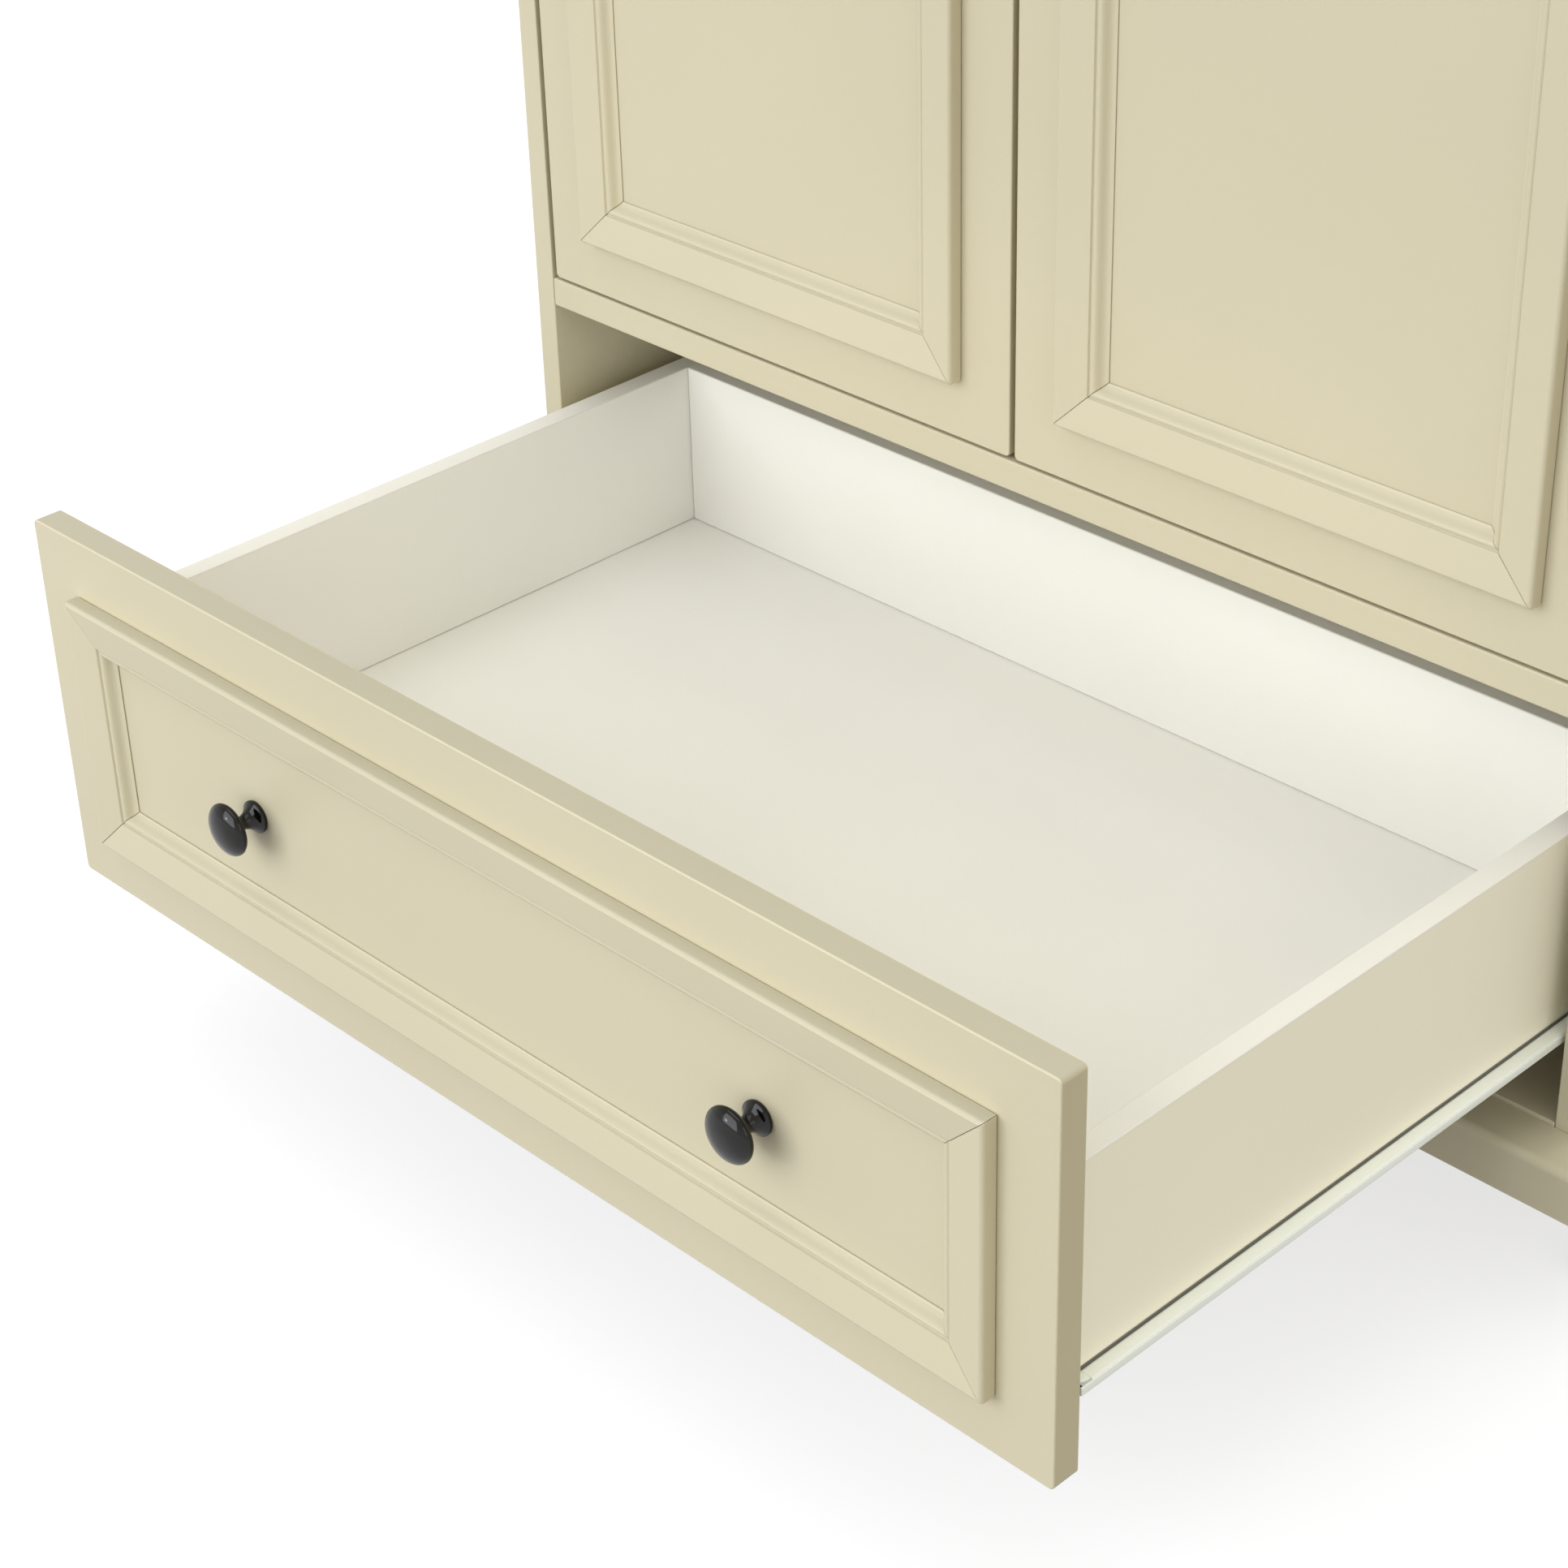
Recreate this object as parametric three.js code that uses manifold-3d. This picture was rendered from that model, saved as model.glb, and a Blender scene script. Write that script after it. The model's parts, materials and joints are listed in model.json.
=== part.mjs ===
// Two-door armoire with one wide drawer, in painted board.
//
// Millimetres, +Z up. +X is to the right seen from the front, and the front faces -Y.
// The drawer is modelled pulled out and the doors closed. Parts are laid out from the
// front plane of the case (Y = 0), and the whole group is then moved along Y, so that the
// origin is under the middle of the box that holds everything.

import * as THREE from 'three';
import { mergeVertices } from 'three/addons/utils/BufferGeometryUtils.js';
import Module from 'manifold-3d';

const wasm = await Module();
wasm.setup();

// ---------------------------------------------------------------- driving dimensions

const GAP = 0.3;                 // between pieces that are fixed to each other
const ROUND_STEPS = 24;          // sides of a round piece

const OPENING_WIDTH = 800;       // between the side panels
const PANEL = 16;                // side, bottom and top panels, and the shelf
const DIVIDER = 19;              // panel between the drawer and the doors
const BACK = 5;
const CASE_DEPTH = 560;          // front plane to the outside of the back
const CASE_TOP = 1757;

const FOOT_HEIGHT = 78;
const FOOT_TOP_RADIUS = 24;
const FOOT_TIP_RADIUS = 15;
const FRONT_FOOT_Y = 35;
const REAR_FOOT_Y = 532;

const LEDGE = 31;                // how far the base moulding stands out of the case
const BASE_HEIGHT = 32.5;
const BOTTOM_LIP = 2.5;          // bottom panel's top face above the ledge

const BAY_HEIGHT = 246;          // clear height for the drawer front
const FRONT_HEIGHT = 240;
const FRONT_THICK = 18;          // drawer front and doors
const FRONT_CORNER = 3;          // corner radius of the drawer front and doors
const EASED_EDGE = 1.2;          // their eased edges
const SMALL_REVEAL = 3;          // gap round the drawer front, and above a door
const DOOR_FOOT_REVEAL = 2;      // gap below a door
const DOOR_REVEAL = 4;           // gap beside a door and between the doors

const DRAWER_OUT = 404;          // how far the drawer stands open
const SIDE_CLEARANCE = 12;       // room for a slide beside the drawer box
const BOX_SIDE = 14;
const BOX_BOTTOM = 5;
const BOX_DROP = 63.5;           // box's top edge below the front's top edge
const BOX_FLOOR_DROP = 177;      // box floor below the front's top edge
const BOX_SKIRT = 19;            // sides go on below the bottom board by this
const BOX_LENGTH = 508;          // front face to the outside of the box's back
const GROOVE = 6;                // depth of the groove that holds the bottom board

const MOULDING_MARGIN = 37;      // board edge to the moulding's outer foot
const MOULDING_WIDTH = 33;
const RIDGE_HEIGHT = 10.5;
const RIDGE_AT = 5;
const QUIRK_AT = 26.5;
const QUIRK_HEIGHT = 5.5;
const BEAD_RADIUS = 3;
const BEAD_BASE = 4;

const KNOB_HEAD_RADIUS = 16;
const KNOB_FOOT_RADIUS = 10;
const KNOB_NECK_RADIUS = 4.8;
const KNOB_LENGTH = 27;
const DRAWER_KNOB_X = 203;       // either side of the middle
const DOOR_KNOB_Z = 950;
const DOOR_KNOB_INSET = 20;      // from the meeting edge of a door

const PIVOT_INSET = 12;          // pivot pin from the door's outer edge
const PIN_RADIUS = 4;
const PIN_HOLE_RADIUS = 4.3;
const PIN_IN_DOOR = 14;
const PIN_IN_PANEL = 10;

const STEEL = 1.2;               // thickness of the slides' sheet
const SLIDE_START = 20;          // front end of the case slide, behind the front plane
const SLIDE_LENGTH = 500;
const FLANGE_Z = 169.5;          // top of the drawer slide's flange
const CHANNEL_BOTTOM = 141.5;
const CHANNEL_TOP = 172.7;
const CHANNEL_INSIDE = 390.5;    // inner edges of the case slide's flanges, from the middle
const LIP = 6;
const UPSTAND = 1.2;             // web above the flange
const ROLLER_RADIUS = 11.5;
const ROLLER_HOLE_RADIUS = 3.2;
const AXLE_RADIUS = 3;
const ROLLER_NEAR = 390.9;
const ROLLER_FAR = 395.7;
const FRONT_ROLLER_Y = 34;
const REAR_ROLLER_SETBACK = 13;  // from the box's rear end

const CORNICE_HEIGHT = 50;
const CORNICE_REACH = 27;
const TOP_BOARD = 22;

const SHELF_Z = 1484;
const SHELF_FRONT = 28;
const ROD_Z = 1430;
const ROD_Y = 290;
const ROD_RADIUS = 12.5;
const ROD_WALL = 1.5;
const SOCKET_RADIUS = 24;
const SOCKET_FLANGE = 3;
const SOCKET_DEPTH = 12;

const CATCH_WIDTH = 52;
const CATCH_DEPTH = 23;
const CATCH_HEIGHT = 14;
const STRIKE_THICK = 1.5;
const STRIKE_WIDTH = 16;
const STRIKE_HEIGHT = 12;

// ---------------------------------------------------------------- worked out from them

const INNER = OPENING_WIDTH / 2;
const OUTER = INNER + PANEL;
const PANEL_DEPTH = CASE_DEPTH - BACK - GAP;
const BASE_TOP = FOOT_HEIGHT + BASE_HEIGHT;
const BAY_FLOOR = BASE_TOP + BOTTOM_LIP;
const DIVIDER_Z = BAY_FLOOR + BAY_HEIGHT;
const DIVIDER_TOP = DIVIDER_Z + DIVIDER;
const TOP_PANEL_Z = CASE_TOP - PANEL;
const DOOR_BOTTOM = DIVIDER_TOP + DOOR_FOOT_REVEAL;
const DOOR_TOP = TOP_PANEL_Z - SMALL_REVEAL;
const DOOR_HEIGHT = DOOR_TOP - DOOR_BOTTOM;
const DOOR_OUTER = INNER - DOOR_REVEAL;
const DOOR_WIDTH = DOOR_OUTER - DOOR_REVEAL / 2;
const FRONT_BOTTOM = BAY_FLOOR + SMALL_REVEAL;
const FRONT_TOP = FRONT_BOTTOM + FRONT_HEIGHT;
const FRONT_WIDTH = OPENING_WIDTH - 2 * SMALL_REVEAL;
const BOX_OUTER = INNER - SIDE_CLEARANCE;
const BOX_INNER = BOX_OUTER - BOX_SIDE;
const BOX_TOP = FRONT_TOP - BOX_DROP;
const BOX_FLOOR = FRONT_TOP - BOX_FLOOR_DROP;
const BOX_LOW = BOX_FLOOR - BOX_BOTTOM - BOX_SKIRT;
const CASE_ROLLER_Z = FLANGE_Z - STEEL - GAP - ROLLER_RADIUS;
const DRAWER_ROLLER_Z = CHANNEL_BOTTOM + STEEL + GAP + ROLLER_RADIUS;
const DRAWER_ROLLER_Y = BOX_LENGTH - REAR_ROLLER_SETBACK;
const CORNICE_Z = CASE_TOP + GAP;
const TOP_BOARD_Z = CORNICE_Z + CORNICE_HEIGHT + GAP;

// ---------------------------------------------------------------- materials

function finish(color, roughness, metalness) {
  return new THREE.MeshStandardMaterial({ color, roughness, metalness });
}

const creamPaint = finish(0xd9d2b6, 0.45, 0);
const ivoryLining = finish(0xeeece0, 0.55, 0);
const blackEnamel = finish(0x2c2c2e, 0.25, 0.3);
const coatedSteel = finish(0xd6dad2, 0.4, 0.2);
const paleNylon = finish(0xe4e4df, 0.5, 0);
const brightSteel = finish(0xb9bcbf, 0.3, 0.9);
const catchPlastic = finish(0xdedad0, 0.55, 0);

// ---------------------------------------------------------------- solids and cuts

function toSolid(geometry) {
  const bare = geometry.clone();
  bare.deleteAttribute('normal');
  bare.deleteAttribute('uv');
  const merged = mergeVertices(bare.index ? bare.toNonIndexed() : bare, 1e-4);
  const mesh = new wasm.Mesh({
    numProp: 3,
    vertProperties: new Float32Array(merged.getAttribute('position').array),
    triVerts: new Uint32Array(merged.index.array),
  });
  return new wasm.Manifold(mesh);
}

function toGeometry(solid) {
  const mesh = solid.getMesh();
  const geometry = new THREE.BufferGeometry();
  geometry.setAttribute('position', new THREE.BufferAttribute(mesh.vertProperties, 3));
  geometry.setIndex(new THREE.BufferAttribute(mesh.triVerts, 1));
  geometry.computeVertexNormals();
  return geometry;
}

function cut(geometry, tools) {
  return toGeometry(tools.reduce((solid, tool) => solid.subtract(toSolid(tool)), toSolid(geometry)));
}

function join(geometry, others) {
  return toGeometry(others.reduce((solid, other) => solid.add(toSolid(other)), toSolid(geometry)));
}

// A board between two corners, each [x, y, z].
function board(low, high) {
  const size = high.map((value, i) => value - low[i]);
  const middle = high.map((value, i) => (value + low[i]) / 2);
  return new THREE.BoxGeometry(...size).translate(...middle);
}

// A cylinder of one radius along Z, from z0 to z1.
function uprightPin(radius, x, y, z0, z1) {
  const geometry = new THREE.CylinderGeometry(radius, radius, z1 - z0, ROUND_STEPS);
  return geometry.rotateX(Math.PI / 2).translate(x, y, (z0 + z1) / 2);
}

// A cylinder of one radius along X, from x0 to x1.
function crossPin(radius, x0, x1, y, z) {
  const geometry = new THREE.CylinderGeometry(radius, radius, Math.abs(x1 - x0), ROUND_STEPS);
  return geometry.rotateZ(Math.PI / 2).translate((x0 + x1) / 2, y, z);
}

// A turned piece. The profile's points are [radius, height], from the bottom up.
function turned(profile) {
  return new THREE.LatheGeometry(profile.map(([r, h]) => new THREE.Vector2(r, h)), ROUND_STEPS);
}

// A section in X and Z, drawn as a THREE.Shape, carried along Y from y0 to y1.
function alongY(section, y0, y1) {
  const geometry = new THREE.ExtrudeGeometry(section, { depth: y1 - y0, bevelEnabled: false });
  return geometry.rotateX(Math.PI / 2).translate(0, y1, 0);
}

// A drawer front or door: a slab with round corners and eased edges, back face at y + FRONT_THICK.
function easedSlab(x0, x1, z0, z1) {
  const e = EASED_EDGE;
  const r = FRONT_CORNER;
  const [a, b, c, d] = [x0 + e, x1 - e, z0 + e, z1 - e];
  const outline = new THREE.Shape();
  outline.moveTo(a + r, c);
  outline.lineTo(b - r, c);
  outline.quadraticCurveTo(b, c, b, c + r);
  outline.lineTo(b, d - r);
  outline.quadraticCurveTo(b, d, b - r, d);
  outline.lineTo(a + r, d);
  outline.quadraticCurveTo(a, d, a, d - r);
  outline.lineTo(a, c + r);
  outline.quadraticCurveTo(a, c, a + r, c);
  const geometry = new THREE.ExtrudeGeometry(outline, {
    depth: FRONT_THICK - 2 * e,
    bevelEnabled: true,
    bevelThickness: e,
    bevelSize: e,
    bevelSegments: 1,
    curveSegments: 3,
  });
  return geometry.rotateX(Math.PI / 2).translate(0, FRONT_THICK - e, 0);
}

// A strip of moulding with its ends cut by a saw. The section is drawn with its width along
// X and its height along Y. The strip runs along X about its middle, its width is along Y and
// its height along Z. An end's mitre is 1 where the strip gets shorter across its width, -1
// where it gets longer and 0 where it is square.
function mouldingStrip(section, length, startMitre, endMitre) {
  const options = { depth: length, bevelEnabled: false, curveSegments: 5 };
  const geometry = new THREE.ExtrudeGeometry(section, options);
  const position = geometry.getAttribute('position');
  for (let i = 0; i < position.count; i += 1) {
    const across = position.getX(i);
    const height = position.getY(i);
    const atStart = position.getZ(i) < length / 2;
    const mitre = atStart ? startMitre : endMitre;
    const reach = length / 2 - mitre * across - GAP / 2;
    position.setXYZ(i, atStart ? -reach : reach, across, height);
  }
  return geometry;
}

// ---------------------------------------------------------------- sections

function panelMouldingSection() {
  const section = new THREE.Shape();
  section.moveTo(0, 0);
  section.lineTo(MOULDING_WIDTH, 0);
  section.lineTo(MOULDING_WIDTH, BEAD_BASE);
  section.absarc(MOULDING_WIDTH - BEAD_RADIUS, BEAD_BASE, BEAD_RADIUS, 0, Math.PI, false);
  section.lineTo(QUIRK_AT, QUIRK_HEIGHT);
  section.lineTo(RIDGE_AT, RIDGE_HEIGHT);
  section.quadraticCurveTo(0, RIDGE_HEIGHT, 0, RIDGE_HEIGHT - RIDGE_AT);
  return section;
}

function baseMouldingSection() {
  const nose = 6;
  const section = new THREE.Shape();
  section.moveTo(GAP, 0);
  section.lineTo(LEDGE, 0);
  section.lineTo(LEDGE, BASE_HEIGHT - nose);
  section.quadraticCurveTo(LEDGE, BASE_HEIGHT, LEDGE - nose, BASE_HEIGHT);
  section.lineTo(GAP, BASE_HEIGHT);
  return section;
}

function corniceSection() {
  const fillet = 8;
  const cap = 10;
  const section = new THREE.Shape();
  section.moveTo(-PANEL, 0);
  section.lineTo(fillet - 2, 0);
  section.lineTo(fillet - 2, fillet);
  section.lineTo(fillet, fillet);
  section.quadraticCurveTo(fillet + 1, CORNICE_HEIGHT - cap, CORNICE_REACH - 2, CORNICE_HEIGHT - cap);
  section.lineTo(CORNICE_REACH, CORNICE_HEIGHT - cap);
  section.lineTo(CORNICE_REACH, CORNICE_HEIGHT);
  section.lineTo(-PANEL, CORNICE_HEIGHT);
  return section;
}

function polygon(points) {
  return new THREE.Shape(points.map(([x, y]) => new THREE.Vector2(x, y)));
}

// The case slide is a channel open towards the drawer. Side is 1 on the right, -1 on the left.
function caseSlideSection(side) {
  const wall = INNER - GAP;
  return polygon([
    [CHANNEL_INSIDE, CHANNEL_BOTTOM],
    [wall, CHANNEL_BOTTOM],
    [wall, CHANNEL_TOP],
    [CHANNEL_INSIDE, CHANNEL_TOP],
    [CHANNEL_INSIDE, CHANNEL_TOP - STEEL],
    [wall - STEEL, CHANNEL_TOP - STEEL],
    [wall - STEEL, CHANNEL_BOTTOM + STEEL],
    [CHANNEL_INSIDE, CHANNEL_BOTTOM + STEEL],
  ].map(([x, z]) => [side * x, z]));
}

// The drawer slide goes under the box side and up its outside, with a flange that has a lip.
function drawerSlideSection(side) {
  const web = BOX_OUTER + GAP;
  const under = BOX_LOW - GAP;
  const edge = ROLLER_FAR + 0.4;
  return polygon([
    [BOX_INNER + 1, under - STEEL],
    [web + STEEL, under - STEEL],
    [web + STEEL, FLANGE_Z - STEEL],
    [edge, FLANGE_Z - STEEL],
    [edge, FLANGE_Z - LIP],
    [edge + STEEL, FLANGE_Z - LIP],
    [edge + STEEL, FLANGE_Z],
    [web + STEEL, FLANGE_Z],
    [web + STEEL, FLANGE_Z + UPSTAND],
    [web, FLANGE_Z + UPSTAND],
    [web, under],
    [BOX_INNER + 1, under],
  ].map(([x, z]) => [side * x, z]));
}

// ---------------------------------------------------------------- assembly helpers

const armoire = new THREE.Group();
const drawer = new THREE.Group();
const leftDoor = new THREE.Group();
const rightDoor = new THREE.Group();

function add(parent, name, geometry, material) {
  const mesh = new THREE.Mesh(geometry, material);
  mesh.name = name;
  parent.add(mesh);
  return mesh;
}

// The four strips of applied moulding round a slab that spans x0..x1 and z0..z1 at Y = 0.
function addPanelMoulding(parent, prefix, x0, x1, z0, z1) {
  const width = x1 - x0 - 2 * MOULDING_MARGIN;
  const height = z1 - z0 - 2 * MOULDING_MARGIN;
  const middle = [(x0 + x1) / 2, (z0 + z1) / 2];
  const strips = [
    { side: 'bottom', length: width, from: [0, -height / 2], turn: 0 },
    { side: 'right', length: height, from: [width / 2, 0], turn: 1 },
    { side: 'top', length: width, from: [0, height / 2], turn: 2 },
    { side: 'left', length: height, from: [-width / 2, 0], turn: 3 },
  ];
  for (const strip of strips) {
    const geometry = mouldingStrip(panelMouldingSection(), strip.length, 1, 1);
    geometry.rotateZ(strip.turn * Math.PI / 2).rotateX(Math.PI / 2);
    const mesh = add(parent, `${prefix}_${strip.side}_moulding`, geometry, creamPaint);
    mesh.position.set(middle[0] + strip.from[0], -GAP, middle[1] + strip.from[1]);
  }
}

// A front strip and two side strips that wrap round the case at height z.
function addWrap(name, section, z) {
  const front = mouldingStrip(section, 2 * OUTER, -1, -1).rotateZ(Math.PI);
  add(armoire, `${name}_front`, front, creamPaint).position.set(0, 0, z);
  const left = mouldingStrip(section, CASE_DEPTH, -1, 0).rotateZ(Math.PI / 2);
  add(armoire, `${name}_left`, left, creamPaint).position.set(-OUTER, CASE_DEPTH / 2, z);
  const right = mouldingStrip(section, CASE_DEPTH, 0, -1).rotateZ(-Math.PI / 2);
  add(armoire, `${name}_right`, right, creamPaint).position.set(OUTER, CASE_DEPTH / 2, z);
}

// A mushroom knob that stands out of a front face at Y = 0.
function addKnob(parent, name, x, z) {
  const rim = 21;
  const geometry = turned([
    [0, 0],
    [KNOB_FOOT_RADIUS, 0],
    [KNOB_FOOT_RADIUS, 2],
    [KNOB_FOOT_RADIUS - 2.5, 4.5],
    [KNOB_NECK_RADIUS + 1, 8.5],
    [KNOB_NECK_RADIUS, 12.5],
    [KNOB_NECK_RADIUS + 1.4, 15.5],
    [KNOB_HEAD_RADIUS - 4, 18],
    [KNOB_HEAD_RADIUS - 0.6, 19.6],
    [KNOB_HEAD_RADIUS, rim],
    [KNOB_HEAD_RADIUS - 1.2, rim + 1.7],
    [KNOB_HEAD_RADIUS - 6, KNOB_LENGTH - 1.2],
    [0, KNOB_LENGTH],
  ]).rotateX(Math.PI);
  add(parent, name, geometry, blackEnamel).position.set(x, -GAP, z);
}

// ---------------------------------------------------------------- case

function buildCase() {
  for (const [word, side] of [['left', -1], ['right', 1]]) {
    const xs = [side * INNER, side * OUTER].sort((a, b) => a - b);
    const panel = board([xs[0], 0, FOOT_HEIGHT], [xs[1], PANEL_DEPTH, CASE_TOP]);
    add(armoire, `${word}_side_panel`, panel, creamPaint);
  }
  const across = INNER - GAP;
  const bottom = board([-across, 0, BAY_FLOOR - PANEL], [across, PANEL_DEPTH, BAY_FLOOR]);
  add(armoire, 'bottom_panel', bottom, creamPaint);

  const pivotX = DOOR_OUTER - PIVOT_INSET;
  const pivotY = FRONT_THICK / 2;
  const pinHoles = (z0, z1) => [-1, 1].map((s) => uprightPin(PIN_HOLE_RADIUS, s * pivotX, pivotY, z0, z1));
  const divider = board([-across, 0, DIVIDER_Z], [across, PANEL_DEPTH, DIVIDER_TOP]);
  const dividerHoles = pinHoles(DIVIDER_TOP - PIN_IN_PANEL, DIVIDER_TOP + 1);
  add(armoire, 'divider_panel', cut(divider, dividerHoles), creamPaint);
  const top = board([-across, 0, TOP_PANEL_Z], [across, PANEL_DEPTH, CASE_TOP]);
  const topHoles = pinHoles(TOP_PANEL_Z - 1, TOP_PANEL_Z + PIN_IN_PANEL);
  add(armoire, 'top_panel', cut(top, topHoles), creamPaint);

  const back = board([-OUTER, CASE_DEPTH - BACK, BAY_FLOOR - PANEL], [OUTER, CASE_DEPTH, CASE_TOP]);
  add(armoire, 'back_panel', back, creamPaint);
}

function buildBaseAndTop() {
  addWrap('base_moulding', baseMouldingSection(), FOOT_HEIGHT);
  addWrap('cornice', corniceSection(), CORNICE_Z);
  const reach = OUTER + LEDGE;
  const low = [-reach, -LEDGE, TOP_BOARD_Z];
  const high = [reach, CASE_DEPTH, TOP_BOARD_Z + TOP_BOARD];
  add(armoire, 'top_board', board(low, high), creamPaint);
  const railLow = [-INNER + GAP, CASE_DEPTH - PANEL, CORNICE_Z];
  const railHigh = [INNER - GAP, CASE_DEPTH, CORNICE_Z + CORNICE_HEIGHT];
  add(armoire, 'cornice_rear_rail', board(railLow, railHigh), creamPaint);
  for (const [row, y] of [['front', FRONT_FOOT_Y], ['rear', REAR_FOOT_Y]]) {
    for (const [word, side] of [['left', -1], ['right', 1]]) {
      const foot = turned([
        [0, 0],
        [FOOT_TIP_RADIUS, 0],
        [FOOT_TIP_RADIUS + 1, 2],
        [FOOT_TOP_RADIUS - 3, FOOT_HEIGHT - 17],
        [FOOT_TOP_RADIUS, FOOT_HEIGHT - 14],
        [FOOT_TOP_RADIUS, FOOT_HEIGHT - GAP],
        [0, FOOT_HEIGHT - GAP],
      ]).rotateX(Math.PI / 2);
      add(armoire, `${row}_${word}_foot`, foot, creamPaint).position.set(side * OUTER, y, 0);
    }
  }
}

function buildInside() {
  const across = INNER - GAP;
  const shelf = board([-across, SHELF_FRONT, SHELF_Z], [across, PANEL_DEPTH - GAP, SHELF_Z + PANEL]);
  add(armoire, 'shelf', shelf, creamPaint);

  const rodEnd = across - SOCKET_FLANGE - GAP;
  const rod = turned([
    [ROD_RADIUS - ROD_WALL, -rodEnd],
    [ROD_RADIUS, -rodEnd],
    [ROD_RADIUS, rodEnd],
    [ROD_RADIUS - ROD_WALL, rodEnd],
    [ROD_RADIUS - ROD_WALL, -rodEnd],
  ]).rotateZ(Math.PI / 2);
  add(armoire, 'hanging_rod', rod, brightSteel).position.set(0, ROD_Y, ROD_Z);
  for (const [word, side] of [['left', -1], ['right', 1]]) {
    const cup = ROD_RADIUS + 2.5;
    const socket = turned([
      [0, 0],
      [SOCKET_RADIUS, 0],
      [SOCKET_RADIUS, SOCKET_FLANGE],
      [cup, SOCKET_FLANGE],
      [cup, SOCKET_DEPTH],
      [ROD_RADIUS + GAP, SOCKET_DEPTH],
      [ROD_RADIUS + GAP, SOCKET_FLANGE],
      [0, SOCKET_FLANGE],
    ]).rotateZ(side * Math.PI / 2);
    add(armoire, `${word}_rod_socket`, socket, brightSteel).position.set(side * across, ROD_Y, ROD_Z);
  }

  const catchFront = FRONT_THICK + GAP + STRIKE_THICK + GAP;
  const low = [-CATCH_WIDTH / 2, catchFront, TOP_PANEL_Z - GAP - CATCH_HEIGHT];
  const high = [CATCH_WIDTH / 2, catchFront + CATCH_DEPTH, TOP_PANEL_Z - GAP];
  add(armoire, 'magnetic_catch', board(low, high), catchPlastic);
}

function buildCaseSlides() {
  const end = SLIDE_START + SLIDE_LENGTH;
  for (const [word, side] of [['left', -1], ['right', 1]]) {
    const channel = alongY(caseSlideSection(side), SLIDE_START, end);
    const stub = [side * ROLLER_NEAR, side * (INNER - GAP - STEEL / 2)];
    const axle = crossPin(AXLE_RADIUS, stub[0], stub[1], FRONT_ROLLER_Y, CASE_ROLLER_Z);
    add(armoire, `${word}_case_slide`, join(channel, [axle]), coatedSteel);
    addRoller(armoire, `${word}_case_roller`, side, FRONT_ROLLER_Y, CASE_ROLLER_Z);
  }
}

// A nylon roller with a raised rim, turning on an axle along X.
function addRoller(parent, name, side, y, z) {
  const width = ROLLER_FAR - ROLLER_NEAR;
  const roller = turned([
    [ROLLER_HOLE_RADIUS, 0],
    [ROLLER_RADIUS - 0.8, 0],
    [ROLLER_RADIUS, 0.8],
    [ROLLER_RADIUS, width - 0.8],
    [ROLLER_RADIUS - 0.8, width],
    [ROLLER_HOLE_RADIUS, width],
    [ROLLER_HOLE_RADIUS, 0],
  ]).rotateZ(-Math.PI / 2);
  const start = side > 0 ? ROLLER_NEAR : -ROLLER_FAR;
  add(parent, name, roller, paleNylon).position.set(start, y, z);
}

// ---------------------------------------------------------------- doors

function buildDoor(parent, word, side) {
  const xs = [side * (DOOR_REVEAL / 2), side * DOOR_OUTER].sort((a, b) => a - b);
  const pivotX = side * (DOOR_OUTER - PIVOT_INSET);
  const pivotY = FRONT_THICK / 2;
  const slab = cut(easedSlab(xs[0], xs[1], DOOR_BOTTOM, DOOR_TOP), [
    uprightPin(PIN_HOLE_RADIUS, pivotX, pivotY, DOOR_BOTTOM - 1, DOOR_BOTTOM + PIN_IN_DOOR),
    uprightPin(PIN_HOLE_RADIUS, pivotX, pivotY, DOOR_TOP - PIN_IN_DOOR, DOOR_TOP + 1),
  ]);
  add(parent, `${word}_door`, slab, creamPaint);
  addPanelMoulding(parent, `${word}_door`, xs[0], xs[1], DOOR_BOTTOM, DOOR_TOP);

  const lowPin = [DIVIDER_TOP - PIN_IN_PANEL + GAP, DOOR_BOTTOM + PIN_IN_DOOR - GAP];
  const highPin = [DOOR_TOP - PIN_IN_DOOR + GAP, TOP_PANEL_Z + PIN_IN_PANEL - GAP];
  add(parent, `${word}_door_lower_pin`, uprightPin(PIN_RADIUS, pivotX, pivotY, ...lowPin), brightSteel);
  add(parent, `${word}_door_upper_pin`, uprightPin(PIN_RADIUS, pivotX, pivotY, ...highPin), brightSteel);

  addKnob(parent, `${word}_door_knob`, side * (DOOR_REVEAL / 2 + DOOR_KNOB_INSET), DOOR_KNOB_Z);

  const strikeX = [side * 6, side * (6 + STRIKE_WIDTH)].sort((a, b) => a - b);
  const strikeY = FRONT_THICK + GAP;
  const strikeZ = DOOR_TOP - 2;
  const low = [strikeX[0], strikeY, strikeZ - STRIKE_HEIGHT];
  const high = [strikeX[1], strikeY + STRIKE_THICK, strikeZ];
  add(parent, `${word}_strike_plate`, board(low, high), brightSteel);
}

// ---------------------------------------------------------------- drawer, drawn closed

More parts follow.
